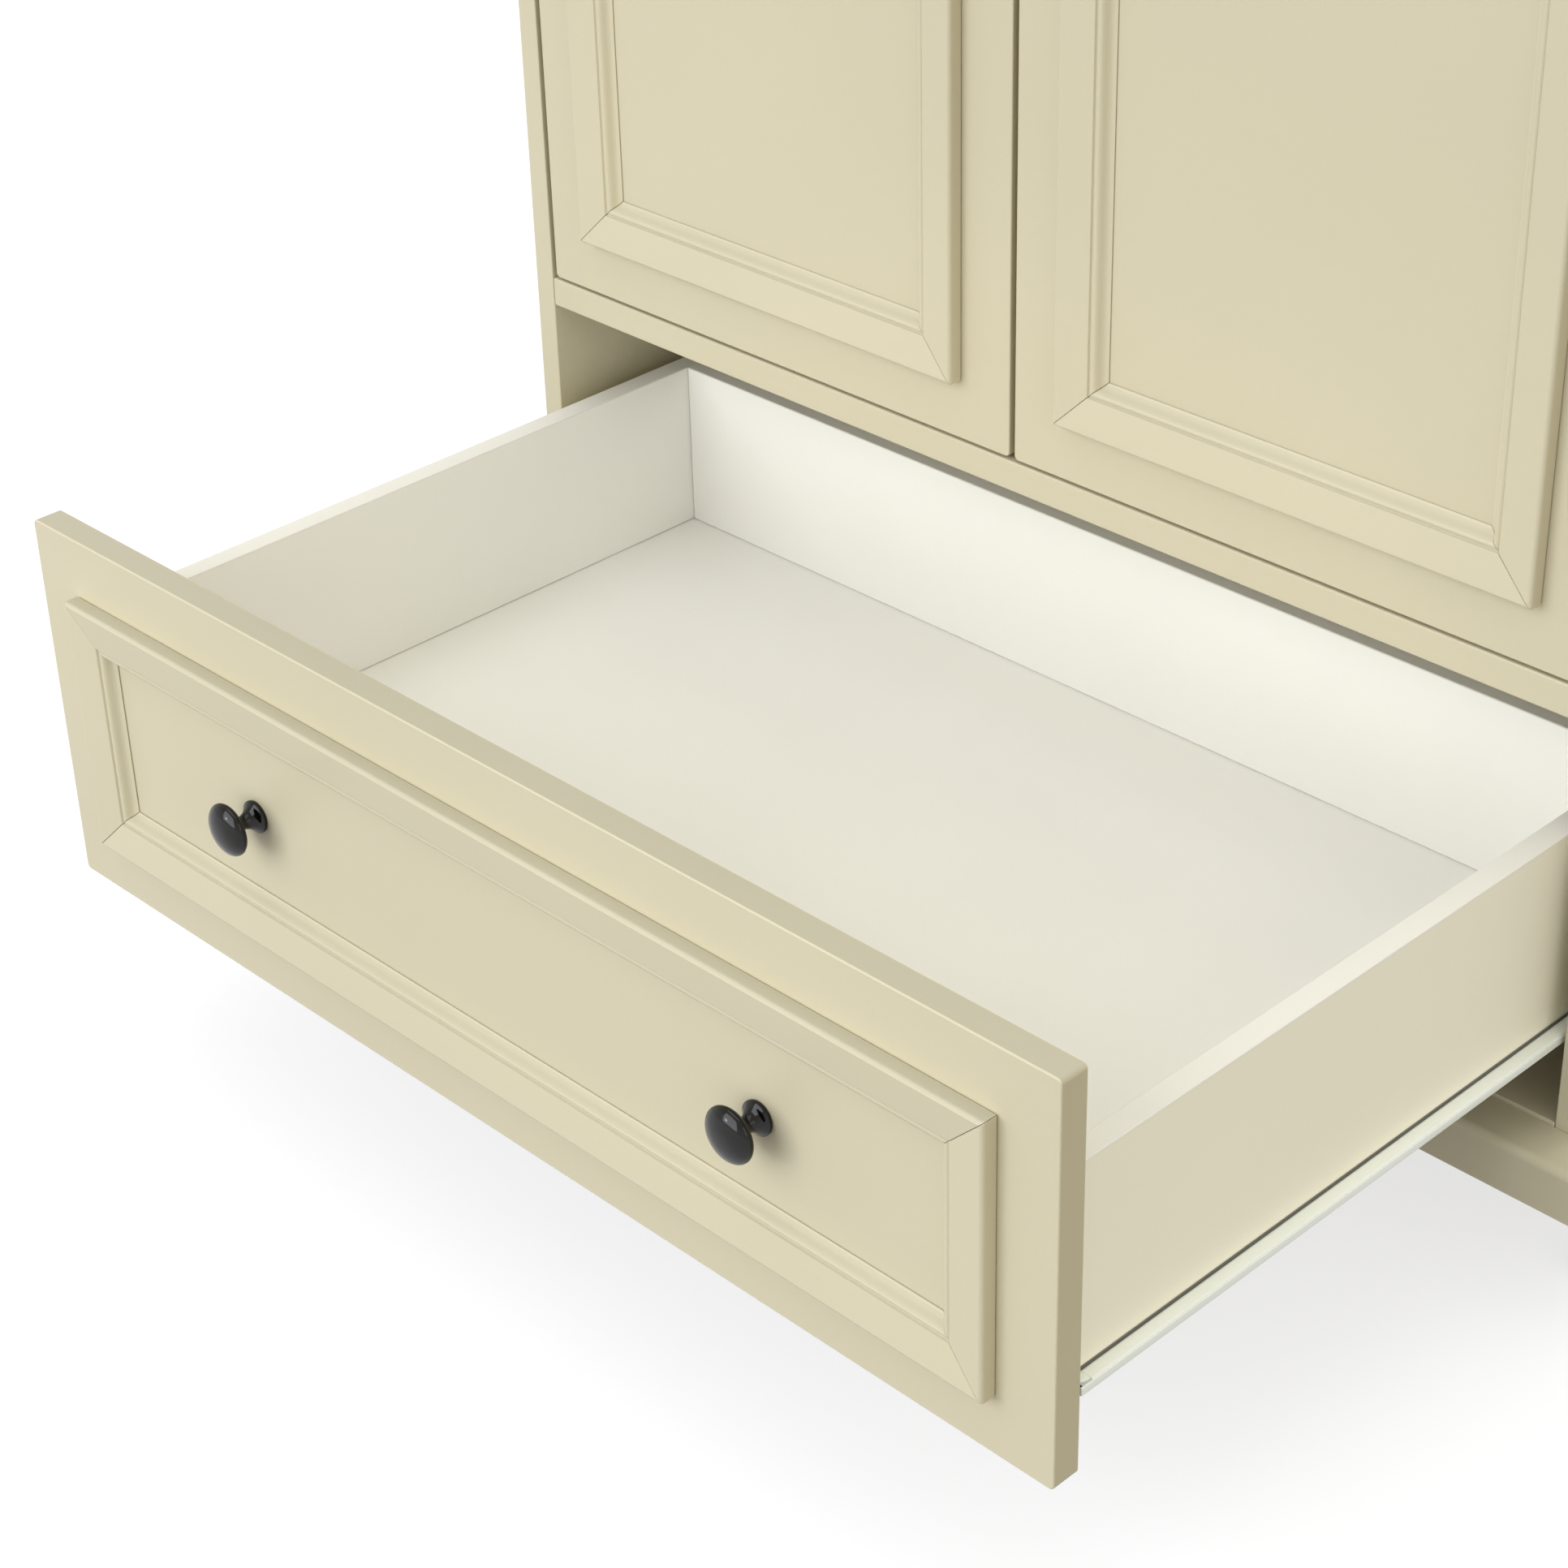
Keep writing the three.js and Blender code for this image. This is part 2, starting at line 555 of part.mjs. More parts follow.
function buildDrawerBox() {
  const grooveLow = BOX_FLOOR - BOX_BOTTOM - GAP;
  const grooveHigh = BOX_FLOOR + GAP;
  const grooveX = BOX_INNER + GROOVE + GAP;
  const groove = board([-grooveX, FRONT_THICK - GROOVE, grooveLow], [grooveX, BOX_LENGTH + 1, grooveHigh]);

  const front = easedSlab(-FRONT_WIDTH / 2, FRONT_WIDTH / 2, FRONT_BOTTOM, FRONT_TOP);
  add(drawer, 'drawer_front', cut(front, [groove]), creamPaint);

  const start = FRONT_THICK + GAP;
  for (const [word, side] of [['left', -1], ['right', 1]]) {
    const xs = [side * BOX_INNER, side * BOX_OUTER].sort((a, b) => a - b);
    const panel = board([xs[0], start, BOX_LOW], [xs[1], BOX_LENGTH, BOX_TOP]);
    add(drawer, `drawer_${word}_side`, cut(panel, [groove]), ivoryLining);
  }
  const across = BOX_INNER - GAP;
  const backLow = [-across, BOX_LENGTH - BOX_SIDE, BOX_FLOOR + GAP];
  add(drawer, 'drawer_back', board(backLow, [across, BOX_LENGTH, BOX_TOP]), ivoryLining);
  const edge = BOX_INNER + GROOVE;
  const bottomLow = [-edge, FRONT_THICK - GROOVE + GAP, BOX_FLOOR - BOX_BOTTOM];
  add(drawer, 'drawer_bottom', board(bottomLow, [edge, BOX_LENGTH, BOX_FLOOR]), ivoryLining);
}

function buildDrawerSlides() {
  for (const [word, side] of [['left', -1], ['right', 1]]) {
    const web = side * (BOX_OUTER + GAP);
    const webs = [web, web + side * STEEL].sort((a, b) => a - b);
    const rail = alongY(drawerSlideSection(side), FRONT_THICK + 2 * GAP, BOX_LENGTH);
    const ear = board(
      [webs[0], DRAWER_ROLLER_Y - 9, DRAWER_ROLLER_Z - 7],
      [webs[1], DRAWER_ROLLER_Y + 9, DRAWER_ROLLER_Z + 7],
    );
    const stub = [web + side * STEEL / 2, side * ROLLER_FAR];
    const axle = crossPin(AXLE_RADIUS, stub[0], stub[1], DRAWER_ROLLER_Y, DRAWER_ROLLER_Z);
    add(drawer, `${word}_drawer_slide`, join(rail, [ear, axle]), coatedSteel);
    addRoller(drawer, `${word}_drawer_roller`, side, DRAWER_ROLLER_Y, DRAWER_ROLLER_Z);
  }
}

function buildDrawer() {
  buildDrawerBox();
  buildDrawerSlides();
  const half = FRONT_WIDTH / 2;
  addPanelMoulding(drawer, 'drawer', -half, half, FRONT_BOTTOM, FRONT_TOP);
  const knobZ = (FRONT_BOTTOM + FRONT_TOP) / 2;
  addKnob(drawer, 'drawer_left_knob', -DRAWER_KNOB_X, knobZ);
  addKnob(drawer, 'drawer_right_knob', DRAWER_KNOB_X, knobZ);
}

// ---------------------------------------------------------------- the whole

buildCase();
buildBaseAndTop();
buildInside();
buildCaseSlides();
buildDoor(leftDoor, 'left', -1);
buildDoor(rightDoor, 'right', 1);
buildDrawer();

drawer.position.set(0, -DRAWER_OUT, 0);
armoire.add(drawer, leftDoor, rightDoor);

const foremost = -DRAWER_OUT - GAP - KNOB_LENGTH;
armoire.position.set(0, -(foremost + CASE_DEPTH) / 2, 0);
armoire.updateMatrixWorld(true);

export default armoire;
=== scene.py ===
# Looks of the two-door armoire: painted boards, applied mouldings, turned knobs and feet,
# pressed steel slides with nylon rollers, a pale floor, soft studio light and the camera.
# Everything is in metres, in the same frame as the CAD model.

import json
import math

import bmesh
import bpy
from mathutils import Matrix, Vector


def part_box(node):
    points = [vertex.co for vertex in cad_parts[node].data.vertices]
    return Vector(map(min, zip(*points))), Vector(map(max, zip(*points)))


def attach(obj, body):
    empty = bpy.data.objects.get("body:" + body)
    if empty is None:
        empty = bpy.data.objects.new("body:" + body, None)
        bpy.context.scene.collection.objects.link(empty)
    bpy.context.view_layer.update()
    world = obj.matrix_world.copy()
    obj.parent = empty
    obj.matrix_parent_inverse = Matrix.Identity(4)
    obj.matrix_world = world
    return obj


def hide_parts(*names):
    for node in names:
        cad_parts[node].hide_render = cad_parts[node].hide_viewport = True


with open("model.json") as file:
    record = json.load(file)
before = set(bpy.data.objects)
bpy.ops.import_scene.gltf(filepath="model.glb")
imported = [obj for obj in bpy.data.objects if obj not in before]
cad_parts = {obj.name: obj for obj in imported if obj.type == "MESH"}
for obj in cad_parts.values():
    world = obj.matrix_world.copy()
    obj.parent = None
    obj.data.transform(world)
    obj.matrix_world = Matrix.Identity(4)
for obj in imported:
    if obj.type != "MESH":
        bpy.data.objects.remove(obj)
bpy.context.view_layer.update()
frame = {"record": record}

MM = 0.001
CLEARANCE = 0.3 * MM             # between two pieces that lie against each other
MITRE_GAP = 0.16 * MM            # from a moulding's mitred end to the mitre line
SLIDE_STEEL = 1.2 * MM           # thickness of the slides' sheet
FRONT_CORNER = 3.0 * MM          # corner radius of the doors and the drawer front
FRONT_EASE = 0.9 * MM            # their eased edges

BODY_OF = {}
for body_name, body_nodes in frame["record"]["behaviour"]["bodies"].items():
    for node_name in body_nodes:
        BODY_OF[node_name] = body_name
SLOT_OF = {part["node"]: part["material_slot"] for part in frame["record"]["subparts"]}

X = Vector((1, 0, 0))
Y = Vector((0, 1, 0))
Z = Vector((0, 0, 1))
SIDES = (("left", -1), ("right", 1))


# ---------------------------------------------------------------- camera and stage

def make_camera():
    """The viewing angle of the picture: from the front right, looking down on the drawer."""
    divider_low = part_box("divider_panel")[0]
    opening_top = Vector((0, divider_low.y, divider_low.z))
    away = Vector((1.1796, -1.3087, 0.8794))         # from there to the lens
    heading, tilt, roll = math.radians(46.46), math.radians(31.40), math.radians(-1.76)
    data = bpy.data.cameras.new("camera")
    data.lens = 77.93
    data.sensor_width = 36
    data.clip_start = 0.05
    data.clip_end = 60
    camera = bpy.data.objects.new("camera", data)
    turn = Matrix.Rotation(heading, 4, "Z") @ Matrix.Rotation(math.pi / 2 - tilt, 4, "X")
    turn = turn @ Matrix.Rotation(roll, 4, "Z")
    camera.matrix_world = Matrix.Translation(opening_top + away) @ turn
    bpy.context.scene.collection.objects.link(camera)
    bpy.context.scene.camera = camera
    bpy.context.scene.view_settings.view_transform = "Standard"


def make_floor():
    """A wide pale floor that meets the underside of the feet."""
    reach = 80.0
    corners = [(-reach, -reach, 0), (reach, -reach, 0), (reach, reach, 0), (-reach, reach, 0)]
    mesh = bpy.data.meshes.new("floor")
    mesh.from_pydata(corners, [], [(0, 1, 2, 3)])
    floor = bpy.data.objects.new("floor", mesh)
    bpy.context.scene.collection.objects.link(floor)
    mesh.materials.append(floor_material())
    floor.visible_diffuse = False                    # so it casts no bounce onto the object


def area_light(name, place, target, size, power, colour):
    """A square light panel that faces the target and isn't seen by the camera."""
    data = bpy.data.lights.new(name, "AREA")
    data.shape = "RECTANGLE"
    data.size = data.size_y = size
    data.energy = power
    data.color = colour
    light = bpy.data.objects.new(name, data)
    aim = (Vector(target) - Vector(place)).to_track_quat("-Z", "Y")
    light.matrix_world = Matrix.Translation(place) @ aim.to_matrix().to_4x4()
    light.visible_camera = False
    bpy.context.scene.collection.objects.link(light)


def make_lights():
    """A large soft key and a small one for the enamel's highlights at the front left, and weaker
    panels overhead, behind and at the right."""
    area_light("key", (-0.9, -5.0, 2.5), (0, -0.2, 0.40), size=4.2, power=180, colour=(0.86, 0.885, 0.94))
    area_light("glint", (-1.9, -4.9, 1.4), (0, -0.4, 0.4), size=0.45, power=8, colour=(1.0, 1.0, 1.0))
    area_light("overhead", (-0.4, 0.1, 5.6), (-0.1, -0.4, 0.4), size=5.0, power=84, colour=(0.92, 0.95, 1.0))
    area_light("rear", (1.2, 5.2, 3.2), (0, 0.5, 0.9), size=4.0, power=45, colour=(1.0, 0.96, 0.88))
    area_light("side", (3.8, -1.2, 2.2), (0.3, -0.2, 0.3), size=2.2, power=13, colour=(1.0, 0.94, 0.80))


def make_surround():
    """A surround that is white at the horizon, a little dimmer and warmer overhead, and dark below."""
    overhead = (0.80, 0.775, 0.70)
    white = (1.0, 1.0, 1.0)
    stops = [                        # height on the unit sphere, colour
        (-0.33, (0.06, 0.045, 0.025)),
        (-0.06, (0.93, 0.91, 0.86)),
        (-0.02, white),
        (0.22, white),
        (0.48, overhead),
        (1.0, overhead),
    ]
    world = bpy.data.worlds.new("surround")
    bpy.context.scene.world = world
    world.use_nodes = True
    tree = world.node_tree
    place = tree.nodes.new("ShaderNodeTexCoord")
    split = tree.nodes.new("ShaderNodeSeparateXYZ")
    height = tree.nodes.new("ShaderNodeMapRange")
    height.inputs["From Min"].default_value = -1
    height.inputs["From Max"].default_value = 1
    ramp = tree.nodes.new("ShaderNodeValToRGB")
    elements = ramp.color_ramp.elements
    while len(elements) < len(stops):
        elements.new(0.5)
    for element, (level, colour) in zip(elements, stops):
        element.position = (level + 1) / 2
    for element, (level, colour) in zip(elements, stops):
        element.color = (*colour, 1)
    tree.links.new(place.outputs["Generated"], split.inputs[0])
    tree.links.new(split.outputs["Z"], height.inputs["Value"])
    tree.links.new(height.outputs["Result"], ramp.inputs["Fac"])
    tree.links.new(ramp.outputs["Color"], tree.nodes["Background"].inputs["Color"])


# ---------------------------------------------------------------- materials

class Shader:
    """A small helper that adds nodes to one material and joins them."""

    def __init__(self, name):
        self.material = bpy.data.materials.new(name)
        self.material.use_nodes = True
        self.tree = self.material.node_tree
        self.surface = self.tree.nodes["Principled BSDF"]
        self.place = self.add("ShaderNodeTexCoord").outputs["Object"]

    def add(self, kind, **values):
        """A new node. Each value is for the input of that name, or else for the property."""
        node = self.tree.nodes.new(kind)
        for key, value in values.items():
            if key in node.inputs:
                node.inputs[key].default_value = value
            else:
                setattr(node, key, value)
        return node

    def link(self, source, target):
        """Joins an output to an input."""
        self.tree.links.new(source, target)

    def feed(self, source, name):
        """Joins an output to the surface's input of that name."""
        self.link(source, self.surface.inputs[name])

    def noise(self, scale, detail=2.0, stretch=(1, 1, 1)):
        """A noise over the object's own coordinates."""
        mapping = self.add("ShaderNodeMapping", Scale=stretch)
        self.link(self.place, mapping.inputs["Vector"])
        noise = self.add("ShaderNodeTexNoise", Scale=scale, Detail=detail)
        self.link(mapping.outputs["Vector"], noise.inputs["Vector"])
        return noise.outputs["Fac"]

    def span(self, factor, low, high, start=0.3, end=0.7):
        """Maps a factor's range start..end to low..high."""
        node = self.add("ShaderNodeMapRange")
        node.inputs["From Min"].default_value = start
        node.inputs["From Max"].default_value = end
        node.inputs["To Min"].default_value = low
        node.inputs["To Max"].default_value = high
        self.link(factor, node.inputs["Value"])
        return node.outputs["Result"]

    def blend(self, factor, first, second):
        """Mixes two colours. Either may be a colour or another node's output."""
        node = self.add("ShaderNodeMix", data_type="RGBA")
        self.link(factor, node.inputs[0])
        for socket, value in ((node.inputs[6], first), (node.inputs[7], second)):
            if isinstance(value, tuple):
                socket.default_value = (*value, 1)
            else:
                self.link(value, socket)
        return node.outputs[2]

    def bump(self, height, distance, strength, below=None):
        """A normal that a height bends, on top of another bump if one is given."""
        node = self.add("ShaderNodeBump", Distance=distance, Strength=strength)
        self.link(height, node.inputs["Height"])
        if below is not None:
            self.link(below, node.inputs["Normal"])
        return node.outputs["Normal"]

    def clouds(self, factor, colours):
        """Colours the surface in soft patches of two close colours."""
        self.feed(self.blend(self.span(factor, 0, 1), *colours), "Base Color")

    def set(self, **values):
        """Sets the surface's own inputs."""
        for key, value in values.items():
            self.surface.inputs[key.replace("_", " ")].default_value = value


def paint_material(name, colour, roughness):
    """Sprayed satin paint on smooth board: faint clouding, fine orange peel, soft unevenness."""
    shader = Shader(name)
    darker = tuple(channel * 0.955 for channel in colour)
    lighter = tuple(min(1, channel * 1.02) for channel in colour)
    warmer = tuple(channel * factor for channel, factor in zip(colour, (0.985, 0.975, 0.96)))
    cloud = shader.span(shader.noise(2.4, detail=3.0), 0, 1)
    base = shader.blend(cloud, darker, lighter)
    fleck = shader.span(shader.noise(420, detail=1.0), 0, 0.5, start=0.60, end=0.80)
    shader.feed(shader.blend(fleck, base, warmer), "Base Color")
    shader.feed(shader.span(shader.noise(9, detail=4.0), roughness - 0.05, roughness + 0.06), "Roughness")
    peel = shader.bump(shader.noise(650), distance=0.12 * MM, strength=0.55)
    waves = shader.bump(shader.noise(38), distance=0.6 * MM, strength=0.12, below=peel)
    shader.feed(waves, "Normal")
    shader.set(Specular_IOR_Level=0.35)
    return shader.material


def grained_material(name, colours, cloud, roughness, patches, grain, **surface):
    """Soft clouds of two close colours, patchy roughness and a fine grain. The clouds and the patches
    are given as a noise's scale, detail and stretch, and the grain as its scale, depth and strength."""
    shader = Shader(name)
    shader.clouds(shader.noise(*cloud), colours)
    shader.feed(shader.span(shader.noise(*patches), *roughness), "Roughness")
    scale, depth, strength = grain
    shader.feed(shader.bump(shader.noise(scale), depth, strength), "Normal")
    shader.set(**surface)
    return shader.material


def enamel_material():
    """Glossy black enamel on cast metal."""
    return grained_material(
        "black_enamel", colours=((0.0025, 0.0023, 0.0021), (0.0045, 0.0041, 0.0038)), cloud=(60, 3.0),
        roughness=(0.06, 0.13), patches=(140, 3.0), grain=(260, 0.15 * MM, 0.25),
        Specular_IOR_Level=0.38)


def coated_steel_material():
    """Pale epoxy powder coat on pressed steel."""
    return grained_material(
        "coated_steel", colours=((0.86, 0.90, 0.84), (0.91, 0.94, 0.89)), cloud=(14, 4.0, (1, 0.25, 1)),
        roughness=(0.30, 0.46), patches=(30, 3.0), grain=(900, 0.1 * MM, 0.5),
        Specular_IOR_Level=0.5, Coat_Weight=0.4, Coat_Roughness=0.25)


def nylon_material():
    """Natural nylon, slightly waxy."""
    return grained_material(
        "nylon", colours=((0.62, 0.61, 0.56), (0.70, 0.69, 0.65)), cloud=(80, 3.0),
        roughness=(0.38, 0.52), patches=(200, 2.0), grain=(500, 0.1 * MM, 0.3),
        Subsurface_Weight=0.08)


def catch_material():
    """Moulded cream plastic."""
    return grained_material(
        "catch_plastic", colours=((0.58, 0.55, 0.47), (0.64, 0.62, 0.54)), cloud=(90, 3.0),
        roughness=(0.42, 0.56), patches=(160, 2.0), grain=(1100, 0.08 * MM, 0.6))


def rubber_material():
    """Dull black rubber, slightly dusty."""
    return grained_material(
        "dark_rubber", colours=((0.016, 0.016, 0.018), (0.032, 0.031, 0.031)), cloud=(70, 3.0),
        roughness=(0.62, 0.78), patches=(120, 2.0), grain=(700, 0.1 * MM, 0.5),
        Specular_IOR_Level=0.3)


def bright_steel_material():
    """Zinc-plated steel with fine drawn lines."""
    shader = Shader("bright_steel")
    shader.clouds(shader.noise(25, detail=4.0), ((0.50, 0.51, 0.52), (0.66, 0.67, 0.68)))
    lines = shader.noise(600, stretch=(0.02, 1, 1))
    shader.feed(shader.span(lines, 0.20, 0.36), "Roughness")
    shader.feed(shader.bump(lines, distance=0.06 * MM, strength=0.5), "Normal")
    shader.set(Metallic=1.0)
    return shader.material


def floor_material():
    """Matt white studio floor with a barely visible unevenness, which gives off some light."""
    shader = Shader("studio_floor")
    shader.clouds(shader.noise(0.8), ((0.34, 0.345, 0.36), (0.35, 0.355, 0.37)))
    shader.feed(shader.span(shader.noise(3), 0.82, 0.92), "Roughness")
    shader.set(Specular_IOR_Level=0.1, Emission_Color=(1, 1, 1, 1), Emission_Strength=0.70)
    return shader.material


# The paints' own colours, and lighter and darker copies of them that hold painted light and shade on some
# faces.
PAINTS = {                           # colour, roughness
    "cream_paint": ((0.598, 0.551, 0.400), 0.42),
    # a lighter copy of the cream: painted light on the drawer front and its mouldings
    "cream_painted_lit": ((0.626, 0.577, 0.414), 0.42),
    "drawer_lining": ((0.93, 0.925, 0.885), 0.50),
    # a yellower copy of the lining: painted warm light on the drawer sides' outer faces
    "drawer_outside_painted_warm_light": ((0.955, 0.915, 0.745), 0.50),
    # a dark grey: painted shadow in the gap at the slide flange's root
    "painted_gap_shadow": ((0.150, 0.142, 0.122), 0.60),
    # a darker copy of the cream: painted shade on faces that face up
    "cream_painted_top_shade": ((0.490, 0.462, 0.355), 0.50),
    # a darker copy of the cream: painted shade on moulding faces that slope up
    "cream_painted_slope_shade": ((0.552, 0.512, 0.378), 0.50),
    # a darker, warmer copy of the cream: painted shade on edges that face sideways
    "cream_painted_side_shade": ((0.535, 0.480, 0.320), 0.50),
    "drawer_edging": ((0.80, 0.79, 0.735), 0.50),
}
MATERIALS = {name: paint_material(name, *look) for name, look in PAINTS.items()}
MATERIALS["dark_rubber"] = rubber_material()
MATERIALS["black_enamel"] = enamel_material()
MATERIALS["coated_steel"] = coated_steel_material()
MATERIALS["nylon"] = nylon_material()
MATERIALS["bright_steel"] = bright_steel_material()
MATERIALS["catch_plastic"] = catch_material()


# ---------------------------------------------------------------- outlines

def scaled(points):
    """Points that are written in millimetres, in metres."""
    return [(a * MM, b * MM) for a, b in points]


def arc(centre, radius, start, end, steps):
    """Points on an arc, in degrees, both ends included."""
    points = []
    for i in range(steps + 1):
        angle = math.radians(start + (end - start) * i / steps)
        points.append((centre[0] + radius * math.cos(angle), centre[1] + radius * math.sin(angle)))
    return points


def rounded_rectangle(low, high, radius, steps=5):
    """A rectangle's outline with an arc at each corner."""
    (x0, y0), (x1, y1) = low, high
    r = radius
    return (arc((x1 - r, y0 + r), r, -90, 0, steps) + arc((x1 - r, y1 - r), r, 0, 90, steps)
            + arc((x0 + r, y1 - r), r, 90, 180, steps) + arc((x0 + r, y0 + r), r, 180, 270, steps))


def rounded_corner(before, corner, after, radius, steps):
    """A curve that replaces a corner, from the radius before it to the radius after it."""
    start = corner + (before - corner).normalized() * radius
    end = corner + (after - corner).normalized() * radius
    points = []
    for i in range(steps + 1):
        t = i / steps
        points.append(start * (1 - t) ** 2 + corner * 2 * t * (1 - t) + end * t * t)
    return points


def rounded_outline(corners):
    """A closed outline from (x, z, radius) corners."""
    points = []
    count = len(corners)
    for i, (x, z, radius) in enumerate(corners):
        before, after = Vector(corners[i - 1][:2]), Vector(corners[(i + 1) % count][:2])
        points += rounded_corner(before, Vector((x, z)), after, radius, steps=3)
    return [tuple(point) for point in points]


def bent_sheet(path, thickness, radius):
    """The outline of a bent sheet. The path is the sheet's middle line, with sharp corners that are
    rounded to the radius here."""
    points = [Vector(p) for p in path]
    line = [points[0]]
    for before, corner, after in zip(points, points[1:], points[2:]):
        line += rounded_corner(before, corner, after, radius, steps=4)
    line.append(points[-1])
    left, right = [], []
    for i, point in enumerate(line):
        ahead = (line[min(i + 1, len(line) - 1)] - line[max(i - 1, 0)]).normalized()
        normal = Vector((-ahead.y, ahead.x)) * thickness / 2
        left.append(point + normal)
        right.append(point - normal)
    return [tuple(p) for p in left + list(reversed(right))]


def spline(points, steps):
    """A smooth curve through the points."""
    result = []
    padded = [points[0]] + list(points) + [points[-1]]
    for i in range(1, len(padded) - 2):
        p0, p1, p2, p3 = (Vector(p) for p in padded[i - 1:i + 3])
        for k in range(steps):
            t = k / steps
            point = 0.5 * (2 * p1 + (p2 - p0) * t + (2 * p0 - 5 * p1 + 4 * p2 - p3) * t * t
                           + (3 * p1 - p0 - 3 * p2 + p3) * t ** 3)
            result.append((point.x, point.y))
    result.append(tuple(points[-1]))
    return result


# ---------------------------------------------------------------- making pieces

def piece_from(bm, name, node, smooth_angle=35, material=None, weighted=True):
    """Turns a bmesh into a piece that rides on a CAD node's body, in that node's material or another."""
    bmesh.ops.recalc_face_normals(bm, faces=bm.faces)
    mesh = bpy.data.meshes.new(name)
    bm.to_mesh(mesh)
    bm.free()
    mesh.shade_smooth()
    mesh.set_sharp_from_angle(angle=math.radians(smooth_angle))
    piece = bpy.data.objects.new(name, mesh)
    bpy.context.scene.collection.objects.link(piece)
    slot = material or SLOT_OF[node]
    mesh.materials.append(MATERIALS[slot])
    if weighted:
        modifier = piece.modifiers.new("weighted", "WEIGHTED_NORMAL")
        modifier.keep_sharp = True
    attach(piece, BODY_OF[node])
    return piece


def stand_for(bm, node, **options):
    """Turns a bmesh into the piece that is shown in place of a CAD node."""
    piece = piece_from(bm, node + "_look", node, **options)
    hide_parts(node)
    return piece


def repaint(piece, name, chosen):
    """Gives another material to the faces that are chosen by their centre and normal."""
    piece.data.materials.append(MATERIALS[name])
    index = len(piece.data.materials) - 1
    for face in piece.data.polygons:
        if chosen(face.center, face.normal):
            face.material_index = index


def prism(outline, origin, first, second, depth):
    """A solid with that flat outline, drawn along the directions first and second, and pushed by depth."""
    bm = bmesh.new()
    rings = []
    for shift in (Vector((0, 0, 0)), Vector(depth)):
        rings.append([bm.verts.new(Vector(origin) + first * a + second * b + shift) for a, b in outline])
    count = len(outline)
    bm.faces.new(list(reversed(rings[0])))
    bm.faces.new(rings[1])
    for i in range(count):
        j = (i + 1) % count
        bm.faces.new([rings[0][i], rings[0][j], rings[1][j], rings[1][i]])
    bmesh.ops.recalc_face_normals(bm, faces=bm.faces)
    return bm


def run(outline, start, end):
    """A solid with an outline in X and Z that runs along Y."""
    return prism(outline, (0, start, 0), X, Z, (0, end - start, 0))


def ease(bm, size, segments=3):
    """Rounds the sharp outward edges."""
    sharp = math.radians(50)
    bm.normal_update()
    edges = [e for e in bm.edges if e.is_manifold and e.is_convex and e.calc_face_angle(0) > sharp]
    bmesh.ops.bevel(bm, geom=edges, offset=size, segments=segments, profile=0.5,
                    affect="EDGES", clamp_overlap=True)
    return bm


def board(low, high, size, segments=3):
    """A board between two corners, with its edges eased."""
    low, high = Vector(low), Vector(high)
    outline = [(low.x, low.y), (high.x, low.y), (high.x, high.y), (low.x, high.y)]
    bm = prism(outline, (0, 0, low.z), X, Y, (0, 0, high.z - low.z))
    return ease(bm, size, segments)


def node_board(node, size, segments=3):
    """A board in place of a CAD node."""
    low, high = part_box(node)
    return stand_for(board(low, high, size, segments), node)


def turned(profile, origin, axis, steps):
    """A turned solid. The profile's points are (radius, height along the axis); ends on the axis close it."""
    axis = Vector(axis).normalized()
    side = axis.orthogonal().normalized()
    other = axis.cross(side)
    on_axis = 1e-7
    bm = bmesh.new()
    rings = []
    for radius, height in profile:
        centre = Vector(origin) + axis * height
        if radius < on_axis:
            rings.append([bm.verts.new(centre)])
            continue
        ring = []
        for i in range(steps):
            angle = 2 * math.pi * i / steps
            ring.append(bm.verts.new(centre + radius * (math.cos(angle) * side + math.sin(angle) * other)))
        rings.append(ring)
    closed = len(rings[0]) > 1
    pairs = list(zip(rings, rings[1:])) + ([(rings[-1], rings[0])] if closed else [])
    for a, b in pairs:
        for i in range(steps):
            j = (i + 1) % steps
            corners = []
            for vert in (a[i % len(a)], a[j % len(a)], b[j % len(b)], b[i % len(b)]):
                if vert not in corners:
                    corners.append(vert)
            if len(corners) > 2:
                bm.faces.new(corners)
    bmesh.ops.recalc_face_normals(bm, faces=bm.faces)
    return bm


def strip(section, start, along, across, outward, length, start_mitre, end_mitre):
    """A run of moulding. The section's points are (across, outward). A mitre of 1 shortens the strip
    across its width, -1 lengthens it and 0 is a square end."""
    bm = bmesh.new()
    ends = []
    for base, mitre, sign in ((0.0, start_mitre, 1), (length, end_mitre, -1)):
        ring = []
        for s, t in section:
            reach = base + sign * (mitre * s + MITRE_GAP)
            ring.append(bm.verts.new(Vector(start) + along * reach + across * s + outward * t))
        ends.append(ring)
    count = len(section)
    caps = [bm.faces.new(ends[0]), bm.faces.new(list(reversed(ends[1])))]
    for i in range(count):
        j = (i + 1) % count
        bm.faces.new([ends[0][i], ends[1][i], ends[1][j], ends[0][j]])
    bmesh.ops.recalc_face_normals(bm, faces=bm.faces)
    rim = [edge for face in caps for edge in face.edges]
    bmesh.ops.bevel(bm, geom=rim, offset=0.25 * MM, segments=1, affect="EDGES", clamp_overlap=True)
    return bm


def join_meshes(parts):
    """One bmesh from several, which are used up."""
    whole = bmesh.new()
    for part in parts:
        mesh = bpy.data.meshes.new("part")
        part.to_mesh(mesh)
        part.free()
        whole.from_mesh(mesh)
        bpy.data.meshes.remove(mesh)
    return whole


